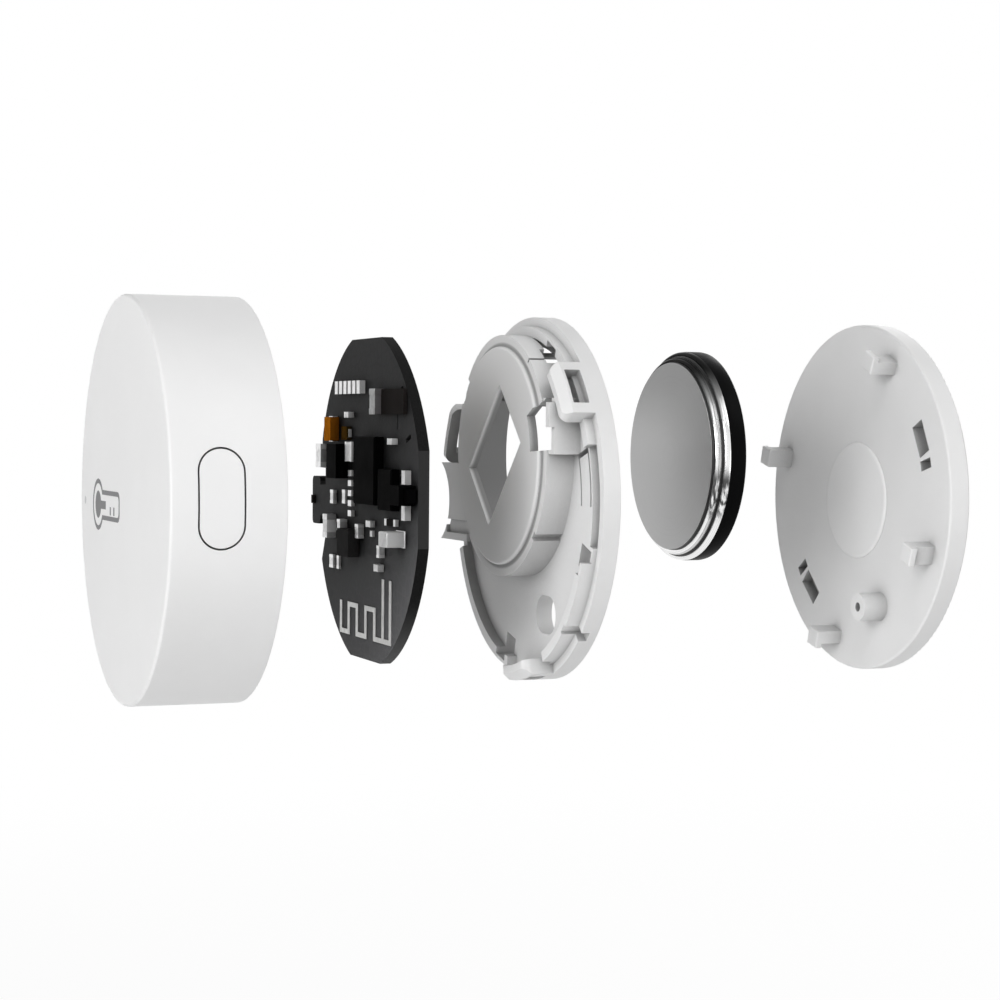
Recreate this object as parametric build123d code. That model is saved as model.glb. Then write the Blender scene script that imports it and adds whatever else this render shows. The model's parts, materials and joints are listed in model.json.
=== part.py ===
"""Round temperature and humidity sensor, stored in the exploded state of the photograph.

Every piece is drawn where it sits when the sensor is closed, on planes that face the front.
Depth u is the distance from the wall, so a plane at depth u lies at y = -u.
Each body is then moved towards the front by its own rest offset before it is written.
"""
import os
from math import cos, radians, sin

from build123d import *

# Overall stack, closed: depths from the wall
shell_depth = 9.8
shell_wall = 0.85
front_wall = 1.2
part_room = 2.0
cover_margin = 1.0
cover_thick = 2.1
seat_gap = 0.05
stack_gap = 0.1

# Exploded offsets of the bodies from their closed places, measured along -Y
cell_offset = 17.1
bracket_offset = 33.3
board_offset = 44.9
shell_offset = 64.1

# Bracket
band_clear = 0.25
band_depth = 1.6
band_wall = 1.0
lip_step = 0.85
lip_wall = 0.95
lip_low = 0.45
lip_tall = 0.95
web_rear_recess = 0.45
web_thick = 1.55
drum_z = 4.0
drum_wall = 1.0
drum_in_lip = 0.1
drum_step = 0.4
drum_shoulder = 1.05
drum_roof = 0.8
contact_room = 0.8
groove_depth = 0.45
window_inset = 1.9
box_reach = 1.4
box_wall = 0.7
cell_slack = 0.2
slot_floor = 0.3
slot_skin = 0.4
slot_half = 1.4
slit_half = 0.45
contact_turn = 33
slit_width = 0.25
tongue_width = 2.3
tab_rest_inset = 1.7
lug_angles = (38, 158, 281)
lug_width = 5.7
lug_wall = 1.4
lug_depth = 4.5
lug_lead = 0.8
lug_bevel = 0.7
lug_corner = 0.8
lug_window = 3.7
lug_window_low = 1.95
lug_window_high = 3.45

# Cell, standard 20 x 3.2 mm coin size
cell_r = 10.0
cell_thick = 3.2
cell_seat = 0.3

# Hooks of the cover
hook_angles = (64.0, 165.0, 255.5, 340.5)
hook_gap = 0.05
hook_thick = 1.3
hook_barb = 0.45
hook_width = 1.8
hook_height = 2.75
hook_barb_thick = 0.6
hook_clear = 0.2
boss_at = (4.75, -10.5)
boss_r = 1.35
boss_height = 2.5
boss_clear = 0.4
pocket_inset = 3.0
pocket_reach = 1.8

# Board
board_thick = 1.0
board_arc_margin = 2.25
board_top_margin = 2.55
board_right_margin = 2.9
board_left_margin = 3.7
notch_depth = 1.05
tab_margin = 0.5
tab_head = 2.55

# Button and switch
button_z = 0.7
button_below_front = 4.3
button_long = 8.4
button_short = 4.0
button_gap = 0.15
button_travel = 0.25
press_gap = 0.05
flange_margin = 0.45
flange_clear = 0.2
flange_thick = 0.65
plunger_height = 0.6
plunger_half = 0.4
switch_inset = 0.75
switch_long = 2.6
light_hole_r = 0.35
light_fit = 0.02
bead_height = 0.2

# Derived depths, from the wall to the front
bracket_rear = cover_thick + seat_gap
web_rear = bracket_rear + web_rear_recess
web_front = web_rear + web_thick
cell_rear = cover_thick + cell_seat
cell_front = cell_rear + cell_thick
drum_front = cell_front + contact_room + drum_roof
board_rear = drum_front + stack_gap
board_front = board_rear + board_thick
ceiling = board_front + part_room
shell_front = ceiling + front_wall
shell_rear = shell_front - shell_depth
button_depth = shell_front - button_below_front
plunger_depth = board_front + plunger_height

# Derived radii and places across, from the cell outwards
drum_inner_r = cell_r + cell_slack
drum_r = drum_inner_r + drum_wall
drum_top_r = drum_r - drum_shoulder
window_r = drum_inner_r - window_inset
box_x = drum_r + box_reach
lip_inner_r = drum_z + drum_r - drum_in_lip
lip_r = lip_inner_r + lip_wall
band_r = lip_r + lip_step
shell_inner_r = band_r + band_clear
shell_r = shell_inner_r + shell_wall
cover_r = shell_r - cover_margin
hook_outer_r = lip_inner_r - hook_gap
hook_inner_r = hook_outer_r - hook_thick
board_arc_r = shell_inner_r - board_arc_margin
board_top_z = shell_inner_r - board_top_margin
board_right_x = shell_inner_r - board_right_margin
board_left_x = board_left_margin - shell_inner_r
tab_x = tab_margin - shell_inner_r
switch_x = board_right_x - switch_inset
plunger_tip_x = board_right_x - press_gap
light_at = (tab_x + 0.65, -0.5)

os.makedirs("parts", exist_ok=True)


def face_plane(depth):
    """Plane facing the front at this depth: local x is X, local y is Z."""
    return Plane.XZ.offset(depth)


def slab(sketch, low, high):
    """Solid of a flat sketch between two depths."""
    return extrude(face_plane(low) * sketch, amount=high - low)


def disc(radius, low, high, at=(0, 0)):
    """Round plate or pin between two depths."""
    return slab(Pos(*at) * Circle(radius), low, high)


def ring(outer, inner, low, high, at=(0, 0)):
    """Round wall between two depths."""
    return slab(Pos(*at) * (Circle(outer) - Circle(inner)), low, high)


def block(x0, x1, z0, z1, low, high):
    """Box between two depths."""
    centre = Pos((x0 + x1) / 2, (z0 + z1) / 2)
    return slab(centre * Rectangle(x1 - x0, z1 - z0), low, high)


def on_circle(radius, angle):
    """Point at this radius and angle on a front-facing plane."""
    return (radius * cos(radians(angle)), radius * sin(radians(angle)))


def sector(start, end, reach=40):
    """Flat wedge between two angles, for cutting rings into arcs."""
    middle = (start + end) / 2
    return make_face(Polyline(
        (0, 0), on_circle(reach, start), on_circle(reach, middle), on_circle(reach, end), (0, 0)))


def arc_wall(outer, inner, start, end, low, high, at=(0, 0)):
    """Part of a round wall between two angles."""
    flat = (Circle(outer) - Circle(inner)) & sector(start, end)
    return slab(Pos(*at) * flat, low, high)


def radial_prism(angle, width, low, high, inner, outer, corner):
    """Rounded block pointing outwards at an angle: width is across, depths are along u."""
    out = Vector(cos(radians(angle)), 0, sin(radians(angle)))
    across = Vector(-sin(radians(angle)), 0, cos(radians(angle)))
    start = out * inner + Vector(0, -(low + high) / 2, 0)
    plane = Plane(origin=start, x_dir=across, z_dir=out)
    return extrude(plane * RectangleRounded(width, high - low, corner), amount=outer - inner)


def about_drum(solid):
    """Turn a solid drawn at the left of the drum to the angle of the can's contact."""
    axis = Pos(0, 0, drum_z)
    return axis * Rot(0, contact_turn, 0) * axis.inverse() * solid


def turned_block(angle, inner, outer, width, low, high):
    """Box on a front-facing plane turned to an angle, between two radii."""
    flat = Rot(0, 0, angle) * Pos((inner + outer) / 2, 0) * Rectangle(outer - inner, width)
    return slab(flat, low, high)


def edge_ring(solid, radius, depth):
    """Round edges of one radius that lie at one depth."""
    found = solid.edges().filter_by(GeomType.CIRCLE)
    return found.filter_by(
        lambda e: abs(e.radius - radius) < 1e-3 and abs(e.center().Y + depth) < 1e-3)


def save(name, solid, offset):
    """Write one node at its exploded place."""
    export_step(Pos(0, -offset, 0) * solid, f"parts/{name}.step")


def hook(angle):
    """Stem with an outward barb at its tip."""
    foot = cover_thick - 0.4
    tip = cover_thick + hook_height
    stem = turned_block(angle, hook_inner_r, hook_outer_r, hook_width, foot, tip)
    barb = turned_block(
        angle, hook_outer_r - 0.1, hook_outer_r + hook_barb, hook_width, tip - hook_barb_thick, tip)
    body = stem + barb
    return fillet(body.edges().group_by(Axis.Y)[0], 0.15)


def back_cover():
    """Round plate on the wall side with hooks, a boss, pockets and a dished centre."""
    plate = disc(cover_r, 0, cover_thick)
    plate = fillet(edge_ring(plate, cover_r, 0) + edge_ring(plate, cover_r, cover_thick), 0.2)
    plate -= disc(5.7, cover_thick - 0.2, cover_thick + 1, at=(0, -0.3))
    for angle in (15.4, 215.4):
        for turn, width in ((0, 0.95), (11.3, 3.2)):
            plate -= turned_block(
                angle + turn, cover_r - pocket_inset - pocket_reach, cover_r - pocket_inset, width,
                cover_thick - 1.2, cover_thick + 1)
    for angle in hook_angles:
        plate += hook(angle)
    boss = disc(boss_r, cover_thick - 0.4, cover_thick + boss_height, at=boss_at)
    boss -= disc(0.45, cover_thick + 0.5, cover_thick + boss_height + 1, at=boss_at)
    return plate + boss


def cell_parts():
    """Coin cell: open can, sealing ring and stepped cap, all round the drum's axis."""
    at = (0, drum_z)
    can = disc(cell_r, cell_rear, cell_front - 0.75, at)
    can -= disc(cell_r - 0.3, cell_rear + 0.3, cell_front, at)
    can += ring(cell_r - 0.12, cell_r - 0.3, cell_front - 0.8, cell_front - 0.6, at)
    can = fillet(edge_ring(can, cell_r, cell_rear), 0.25)
    gasket = ring(cell_r - 0.3, cell_r - 0.55, cell_rear + 0.3, cell_front - 0.45, at)
    cap = disc(cell_r - 0.55, cell_rear + 0.3, cell_front - 0.35, at)
    cap += disc(cell_r - 0.95, cell_front - 0.4, cell_front, at)
    cap = fillet(edge_ring(cap, cell_r - 0.95, cell_front), 0.2)
    return can, gasket, cap


def lug(angle):
    """Snap lug on the band: a curved tongue with a bevelled tip, rounded corners and a window."""
    low = bracket_rear + 0.8
    top = bracket_rear + lug_depth
    reach = (band_r - 3, band_r + 1)
    inner = band_r - lug_wall
    profile = make_face(Polyline(
        (inner, -low), (band_r, -low), (band_r, lug_lead - top), (band_r - lug_bevel, -top),
        (inner, -top), (inner, -low)))
    tongue = revolve(profile, Axis.Y)
    tongue &= radial_prism(angle, lug_width, low, top, *reach, lug_corner)
    return tongue - lug_opening(angle, *reach)


def lug_opening(angle, inner, outer):
    """Window of a lug, between two radii."""
    return radial_prism(
        angle, lug_window, bracket_rear + lug_window_low, bracket_rear + lug_window_high, inner,
        outer, 0.1)


def drum():
    """Battery drum: grooved wall, stepped roof, side box and openings for the contacts."""
    at = (0, drum_z)
    body = disc(drum_r, bracket_rear, drum_front - drum_step, at)
    body += disc(drum_top_r, drum_front - 1, drum_front, at)
    body = fillet(edge_ring(body, drum_top_r, drum_front), 0.3)
    for start, end in ((51.4, 52.6), (-42.4, -38.2)):
        body -= arc_wall(drum_r + 1, drum_r - groove_depth, start, end, web_front, drum_front, at)
    body += block(8, box_x, 4.3, 9.3, web_rear, drum_front - 0.55)
    body += block(box_x - box_wall, box_x, 6.7, 8.9, web_rear, drum_front)
    body -= disc(drum_inner_r, 0, drum_front - drum_roof, at)
    side_window = arc_wall(20, window_r, 3.4, 26.4, 0, drum_front + 1, at)
    body -= side_window & block(0, box_x - box_wall, 0, 20, 0, drum_front + 1)
    window = Pos(-0.6, 4.0) * Rot(0, 0, 45) * Rectangle(11.1, 7.5)
    return body - slab(window, drum_front - 2, drum_front + 1)


def tab_rest():
    """Forked shelf beside the drum that carries the board's sensor tab."""
    top = drum_front - 0.15
    tip, root = tab_rest_inset - band_r, -8.0
    outline = Polyline((root, 3.1), (tip, 3.1))
    outline += ThreePointArc((tip, 3.1), (tip + 2.3, -0.65), (tip, -4.4))
    outline += Polyline((tip, -4.4), (root, -4.4), (root, 3.1))
    shelf = slab(make_face(outline), top - 0.8, top)
    shelf -= block(tip + 1.6, root, -3.7, -2.4, top - 0.35, top + 1)
    foot = block(tip + 1.6, tip + 2.6, 2.3, 3.1, web_rear, top)
    return shelf + foot + block(tip + 1.4, root, -4.4, -3.7, web_rear, top)


def bracket():
    """Inner frame: band, web, lip, drum, lugs and the openings for the cover's hooks."""
    lip_base = web_front - 0.2
    frame = ring(band_r, band_r - band_wall, bracket_rear, bracket_rear + band_depth)
    frame += disc(lip_r, web_rear, web_front)
    frame += arc_wall(lip_r, lip_inner_r, 19, 200, lip_base, web_front + lip_low)
    for start, end in ((200, 262.5), (294.3, 341)):
        frame += arc_wall(lip_r, lip_inner_r, start, end, lip_base, web_front + lip_tall)
    frame -= arc_wall(lip_r, lip_inner_r + 0.25, -14, 19, web_front - 0.7, web_front + 1)
    frame -= arc_wall(band_r + 1, lip_r - 0.3, -47, -43.2, bracket_rear + 0.8, web_front + 2)
    frame += drum() + tab_rest()
    frame -= disc(drum_inner_r, 0, drum_front - drum_roof, at=(0, drum_z))
    for x1, half in ((-drum_inner_r - slot_skin, slot_half), (-cell_r + 0.2, slit_half)):
        frame -= about_drum(block(
            -drum_r - 0.4, x1, drum_z - half, drum_z + half, web_rear + slot_floor, drum_front + 1))
    for angle in lug_angles:
        frame += lug(angle)
        frame -= lug_opening(angle, lip_r + 0.05, band_r + 1)
    for angle in hook_angles:
        frame -= turned_block(
            angle, hook_inner_r - hook_clear, hook_outer_r + hook_barb + hook_clear,
            hook_width + 2 * hook_clear, 0, cover_thick + hook_height + 0.4)
    frame -= arc_wall(lip_inner_r, lip_inner_r - 1.1, 60, 86, web_front - 0.9, web_front + 0.6)
    hole = boss_r + boss_clear
    frame -= slab(
        Pos(boss_at[0] + 0.25, boss_at[1]) * RectangleRounded(2 * hole + 1.1, 2 * hole, hole - 0.05),
        0, web_front + 1)
    tongue_r = lip_inner_r - tongue_width
    slit_depths = (web_rear - 1, web_front + 0.1)
    frame -= arc_wall(tongue_r + slit_width, tongue_r, -1, 19.5, *slit_depths)
    frame -= arc_wall(lip_inner_r, lip_inner_r - slit_width, -1, 19.5, *slit_depths)
    frame -= arc_wall(lip_inner_r, tongue_r, 17.5, 19.5, *slit_depths)
    return frame


def board_outline():
    """Round board with four flats, and a T-shaped tab between two notches on the left."""
    top, right, left = board_top_z, board_right_x, board_left_x
    edge = Polyline((-4.3, top), (4.3, top))
    edge += ThreePointArc((4.3, top), on_circle(board_arc_r, 45), (right, 4.6))
    edge += Polyline((right, 4.6), (right, -3.8))
    edge += ThreePointArc((right, -3.8), on_circle(board_arc_r, -45), (4.3, -top))
    edge += Polyline((4.3, -top), (-4.3, -top))
    edge += ThreePointArc((-4.3, -top), on_circle(board_arc_r, 227), (left, -6.2))
    notch = left + notch_depth
    edge += Polyline((left, -6.2), (notch, -4.0), (notch, 2.6), (left, 2.6), (left, 5.3))
    edge += ThreePointArc((left, 5.3), on_circle(board_arc_r, 133), (-4.3, top))
    head = Pos(tab_x + tab_head / 2, -0.55) * RectangleRounded(tab_head, 4.6, 0.5)
    stem_start, stem_end = tab_x + tab_head - 0.4, notch + 0.5
    stem = Pos((stem_start + stem_end) / 2, -0.55) * Rectangle(stem_end - stem_start, 3.0)
    return make_face(edge) + head + stem


def chip(x0, x1, z0, z1, height):
    """Part standing on the board's front face."""
    return block(x0, x1, z0, z1, board_front, board_front + height)


def board():
    """Circuit board with leg slots for the contacts."""
    plate = slab(board_outline(), board_rear, board_front)
    for x, z in ((9.6, 9.8), (11.6, 5.6)):
        plate -= slab(Pos(x, z) * Rot(0, 0, 20) * SlotOverall(1.4, 0.4), 0, board_front + 1)
    return plate - block(8.5, 8.9, 6.4, 7.8, 0, board_front + 1)


def antenna():
    """Meandering printed track with a double feed."""
    width, bar = 0.65, 0.45
    low = 2.1 - board_top_z
    high = low + 2.6
    feed = low + 5.3
    columns = [-7.1, -4.75, -2.3, 0.25, 2.8]
    flat = Sketch()
    for x in columns:
        flat += Pos(x, (low + high) / 2) * Rectangle(width, high - low + bar)
    for left, right, z in zip(columns, columns[1:], [low, high] * 2):
        flat += Pos((left + right) / 2, z) * Rectangle(right - left, bar)
    for x in (5.15, 7.15):
        flat += Pos(x, (low + feed) / 2) * Rectangle(width, feed - low + bar)
    flat += Pos((columns[-1] + 7.15) / 2, low) * Rectangle(7.15 - columns[-1], bar)
    return slab(flat, board_front, board_front + 0.06)


def pin_row():
    """Row of small contact blocks near the board's top edge."""
    return Compound([
        chip(-7.85 + 1.32 * i, -7.0 + 1.32 * i, 9.6, 10.8, 0.55) for i in range(6)])


def lead_row():
    """Column of small resistors beside the controller."""
    return Compound([chip(-4.3, -3.3, -1.7 + 0.93 * i, -1.15 + 0.93 * i, 0.35) for i in range(5)])


def small_capacitors():
    """Pale ceramic parts of several sizes."""
    places = (
        (-4.85, -3.6, 7.4, 7.95, 0.6),
        (7.6, 8.85, 5.05, 5.6, 0.6),
        (-4.6, -2.6, 3.35, 5.2, 0.6),
        (-9.7, -8.7, -0.7, 0.6, 0.4),
        (-6.45, -5.5, -0.6, 0.7, 0.25),
        (-6.45, -5.45, -3.15, -2.05, 0.75),
        (-1.45, -0.45, -3.6, -2.3, 0.6),
        (1.45, 2.75, -2.45, -1.85, 0.5),
        (2.1, 2.7, -3.3, -2.75, 0.3),
        (4.7, 5.5, -5.05, -3.95, 0.55),
        (-10.15, -8.95, -6.8, -5.55, 0.3),
        (-8.0, -7.3, -6.8, -5.55, 0.25),
        (4.1, 5.25, -6.3, -5.65, 0.6),
    )
    return Compound([chip(*place) for place in places])


def resistor_parts():
    """Long dark resistor and its two pale end caps."""
    body = chip(6.7, 8.6, -2.1, -1.5, 0.28)
    ends = Compound([chip(6.15, 6.7, -2.1, -1.5, 0.3), chip(8.6, 9.15, -2.1, -1.5, 0.3)])
    return body, ends


def controller():
    """Main square chip with a bevelled top edge."""
    body = chip(-1.1, 4.9, -0.4, 5.7, 0.9)
    return chamfer(body.faces().sort_by(Axis.Y)[0].edges(), 0.12)


def second_chip():
    """Smaller chip beside the controller."""
    body = chip(5.6, 9.3, -0.75, 2.9, 0.8)
    return chamfer(body.faces().sort_by(Axis.Y)[0].edges(), 0.12)


def switch_body():
    """Side-press switch with an open slot for its plunger."""
    body = chip(switch_x - switch_long, switch_x, -0.12, 1.59, 1.5)
    return body - block(
        switch_x - 1.2, switch_x + 0.5, 0.05, 1.35, plunger_depth - plunger_half - press_gap,
        plunger_depth + plunger_half + press_gap)


def switch_terminals():
    """Two metal feet at the ends of the switch."""
    x0, x1 = switch_x - 2.0, switch_x - 1.1
    return Compound([chip(x0, x1, 1.64, 2.87, 0.57), chip(x0, x1, -1.45, -0.17, 0.57)])


def switch_plunger():
    """Sliding tip of the switch, pushed by the button's stem."""
    return block(
        switch_x - 1.2 + button_travel + 0.15, plunger_tip_x, 0.1, 1.3,
        plunger_depth - plunger_half, plunger_depth + plunger_half)


def climate_sensor():
    """Small sensor on the wall side of the board's tab, in the cut-out of the bracket."""
    return block(tab_x + 0.45, tab_x + 1.85, -1.3, 0.2, board_rear - 0.6, board_rear)


def indicator_led():
    """Low light source on the tab, under the light pipe."""
    x, z = light_at
    return chip(x - 0.3, x + 0.3, z - 0.4, z + 0.4, 0.25)


def negative_contact():
    """Bent leaf on the board's wall side that reaches the cap through the drum's roof."""
    low = cell_front + seat_gap
    foot = block(-1.8, 1.8, 6.2, 7.4, board_rear - 0.15, board_rear)
    side = Polyline(
        (-(board_rear - 0.15), 6.4), (-(low + 0.15), 3.4), (-(low + 0.15), 2.2), (-low, 2.2),
        (-low, 3.45), (-(board_rear - 0.15), 6.7), (-(board_rear - 0.15), 6.4))
    leaf = extrude(Plane.YZ.offset(-1.0) * make_face(side), amount=2.0)
    return foot + leaf


def positive_contact():
    """Upright strip on the board's wall side that presses on the can's rim."""
    tip = cell_rear + 0.9
    inner = -drum_inner_r - slot_skin - seat_gap
    low, high = drum_z - slot_half + 0.3, drum_z + slot_half - 0.3
    foot = block(inner - 1.25, inner, low, high, board_rear - 0.15, board_rear)
    strip = block(inner - 0.25, inner, low, high, tip, board_rear - 0.1)
    bump = block(inner - 0.05, -cell_r - seat_gap, drum_z - 0.3, drum_z + 0.3, tip, tip + 0.5)
    return about_drum(foot + strip + bump)


def button_outline(grow):
    """Rounded outline of the button, grown or shrunk all round."""
    return SlotOverall(button_long + 2 * grow, button_short + 2 * grow, rotation=90)


def button_prism(grow, inner, outer):
    """Button outline pushed along X between two distances."""
    plane = Plane(
        origin=(inner, -button_depth, button_z), x_dir=(0, -1, 0), z_dir=(1, 0, 0))
    return extrude(plane * button_outline(grow), amount=outer - inner)


def button_cap():
    """Button with a curved face, a flange behind the wall and a stem to the switch."""
    flange_r = shell_inner_r - flange_clear
    reach = (flange_r - 3, shell_r + 2)
    cap = button_prism(-button_gap, *reach) & ring(
        shell_r, flange_r - flange_thick / 2, 0, shell_front)
    flange = button_prism(flange_margin, *reach) & ring(
        flange_r, flange_r - flange_thick, 0, shell_front)
    stem = block(
        plunger_tip_x + press_gap, flange_r - flange_thick / 2, 0.3, 1.1, plunger_depth - 0.35,
        plunger_depth + 0.35)
    return cap + flange + stem


def icon_sketch():
    """Lying thermometer sign: outline, bulb, short column and two marks."""
    bulb, stem_end, half, line = (-10.15, -0.7), -1.0, 1.35, 0.42
    outer = Pos(*bulb) * Circle(2.35)
    outer += Pos((bulb[0] + stem_end) / 2, bulb[1]) * RectangleRounded(
        stem_end - bulb[0], 2 * half, 0.8)
    inner = Pos(*bulb) * Circle(2.35 - line)
    inner += Pos((bulb[0] + stem_end - line) / 2, bulb[1]) * RectangleRounded(
        stem_end - line - bulb[0], 2 * (half - line), 0.5)
    column = Pos(*bulb) * Circle(1.25) + Pos(-8.5, bulb[1]) * Rectangle(3.3, 0.75)
    marks = Pos(-4.9, -1.15) * Rectangle(0.5, 0.75) + Pos(-3.4, -1.15) * Rectangle(0.5, 0.75)
    return (outer - inner) + column + marks


def front_shell():
    """Cup with the front face, the button opening, the light hole and inner beads."""
    cup = disc(shell_r, shell_rear, shell_front)
    cup = fillet(edge_ring(cup, shell_r, shell_front), 0.25)
    cup -= disc(shell_inner_r, 0, ceiling)
    cup -= button_prism(0, shell_inner_r - 2, shell_r + 2)
    cup -= disc(light_hole_r, 0, shell_front + 1, at=light_at)
    cup -= slab(icon_sketch(), shell_front - 0.12, shell_front + 1)
    for angle in lug_angles:
        bead_low = bracket_rear + 2.3
        in_wall = shell_inner_r + shell_wall / 2
        bead = radial_prism(
            angle, 3.0, bead_low, bead_low + 0.8, shell_inner_r - 3, in_wall + 0.1, 0.2)
        cup += bead & ring(in_wall, shell_inner_r - bead_height, 0, shell_front)
    return cup


can_part, gasket_part, cap_part = cell_parts()
resistor_body, resistor_ends = resistor_parts()

nodes = {
    "back_cover": (back_cover(), 0),
    "cell_can": (can_part, cell_offset),
    "cell_gasket": (gasket_part, cell_offset),
    "cell_cap": (cap_part, cell_offset),
    "bracket": (bracket(), bracket_offset),
    "board": (board(), board_offset),
    "antenna": (antenna(), board_offset),
    "pin_row": (pin_row(), board_offset),
    "lead_row": (lead_row(), board_offset),
    "small_capacitors": (small_capacitors(), board_offset),
    "resistor_body": (resistor_body, board_offset),
    "resistor_ends": (resistor_ends, board_offset),
    "controller_chip": (controller(), board_offset),
    "second_chip": (second_chip(), board_offset),
    "tantalum_capacitor": (chip(-10.1, -8.2, 5.15, 7.55, 0.9), board_offset),
    "small_tantalum": (chip(-6.0, -4.35, 5.35, 6.6, 0.5), board_offset),
    "bulk_capacitor": (chip(3.4, 5.0, 7.7, 10.0, 0.9), board_offset),
    "filter_block": (chip(5.2, 11.2, 7.7, 9.95, 0.35), board_offset),
    "film_capacitor": (chip(board_left_x, board_left_x + 1.6, 2.65, 4.9, 0.7), board_offset),
    "power_inductor": (chip(-8.35, -5.4, 1.75, 4.95, 1.2), board_offset),
    "rectifier": (chip(-5.4, -2.0, -5.4, -2.85, 1.05), board_offset),
    "edge_capacitor": (chip(-10.3, -8.9, -3.95, -1.7, 0.95), board_offset),
    "crystal": (chip(8.8, 11.2, -3.9, -2.4, 1.8), board_offset),
    "switch_body": (switch_body(), board_offset),
    "switch_terminals": (switch_terminals(), board_offset),
    "switch_plunger": (switch_plunger(), board_offset),
    "climate_sensor": (climate_sensor(), board_offset),
    "indicator_led": (indicator_led(), board_offset),
    "negative_contact": (negative_contact(), board_offset),
    "positive_contact": (positive_contact(), board_offset),
    "front_shell": (front_shell(), shell_offset),
    "front_icon": (slab(icon_sketch(), shell_front - 0.12, shell_front), shell_offset),
    "light_pipe": (
        disc(light_hole_r - light_fit, ceiling - 0.3, shell_front, at=light_at), shell_offset),
    "button_cap": (button_cap(), shell_offset),
}

for name, (solid, offset) in nodes.items():
    save(name, solid, offset)
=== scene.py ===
"""Looks of the round temperature and humidity sensor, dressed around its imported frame."""

import json
import logging
import math
from dataclasses import dataclass
from enum import Enum
from typing import Iterable, Sequence

import bpy
from mathutils import Matrix, Vector

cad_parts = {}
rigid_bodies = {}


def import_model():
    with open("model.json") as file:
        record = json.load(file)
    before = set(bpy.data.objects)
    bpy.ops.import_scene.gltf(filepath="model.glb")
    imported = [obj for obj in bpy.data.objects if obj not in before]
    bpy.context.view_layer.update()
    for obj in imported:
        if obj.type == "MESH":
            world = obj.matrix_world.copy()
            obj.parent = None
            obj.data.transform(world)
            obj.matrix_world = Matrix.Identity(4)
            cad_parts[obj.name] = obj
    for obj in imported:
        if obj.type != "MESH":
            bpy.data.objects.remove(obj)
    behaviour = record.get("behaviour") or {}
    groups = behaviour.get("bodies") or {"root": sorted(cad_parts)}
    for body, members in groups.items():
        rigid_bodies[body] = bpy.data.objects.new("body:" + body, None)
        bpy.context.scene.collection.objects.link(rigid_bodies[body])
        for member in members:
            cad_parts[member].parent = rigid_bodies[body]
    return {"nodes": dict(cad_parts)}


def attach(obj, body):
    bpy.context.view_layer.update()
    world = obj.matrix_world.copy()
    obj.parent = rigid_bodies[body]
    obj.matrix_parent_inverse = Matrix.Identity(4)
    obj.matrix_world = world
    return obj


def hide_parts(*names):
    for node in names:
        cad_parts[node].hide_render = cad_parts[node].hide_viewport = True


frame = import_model()

Colour = tuple[float, float, float]
Point = tuple[float, float, float]
Box = tuple[Point, Point]
Axis = tuple[float, float]
Band = tuple[float, float]
Rings = Sequence[tuple[float, float]]

log = logging.getLogger("sensor")

MM = 0.001
CELL_AXIS: Axis = (0.0, 0.004)
SOFT: Band = (0.3, 0.7)
SIDE_RAYS = 6
WELD_DIGITS = 6


class Term:
    """A shader value that takes part in Python expressions."""

    def __init__(self, bench: "Bench", socket: bpy.types.NodeSocket) -> None:
        """Keep the socket and the bench that its Math nodes go on."""
        self.bench = bench
        self.socket = socket

    def _math(self, operation: str, *values: object) -> "Term":
        """Add one Math node and return its result."""
        node = self.bench.add("ShaderNodeMath", {"operation": operation}, dict(enumerate(values)))
        return Term(self.bench, node.outputs[0])

    def __add__(self, other: object) -> "Term":
        """Sum."""
        return self._math("ADD", self, other)

    __radd__ = __add__

    def __mul__(self, other: object) -> "Term":
        """Product."""
        return self._math("MULTIPLY", self, other)

    __rmul__ = __mul__

    def __sub__(self, other: object) -> "Term":
        """Difference."""
        return self._math("SUBTRACT", self, other)

    def __rsub__(self, other: object) -> "Term":
        """Difference, reflected."""
        return self._math("SUBTRACT", other, self)

    def __pow__(self, other: object) -> "Term":
        """Power."""
        return self._math("POWER", self, other)

    def __abs__(self) -> "Term":
        """Absolute value."""
        return self._math("ABSOLUTE", self)

    def most(self, other: object) -> "Term":
        """Larger of two values."""
        return self._math("MAXIMUM", self, other)

    def step(self, start: float, end: float) -> "Term":
        """Smooth step of the value.

        Args:
            start: Value at which the result is 0.
            end: Value at which the result is 1.

        Returns:
            A value from 0 to 1.
        """
        node = self.bench.add(
            "ShaderNodeMapRange", {"interpolation_type": "SMOOTHSTEP"},
            {"Value": self, "From Min": start, "From Max": end})
        return Term(self.bench, node.outputs["Result"])


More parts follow.
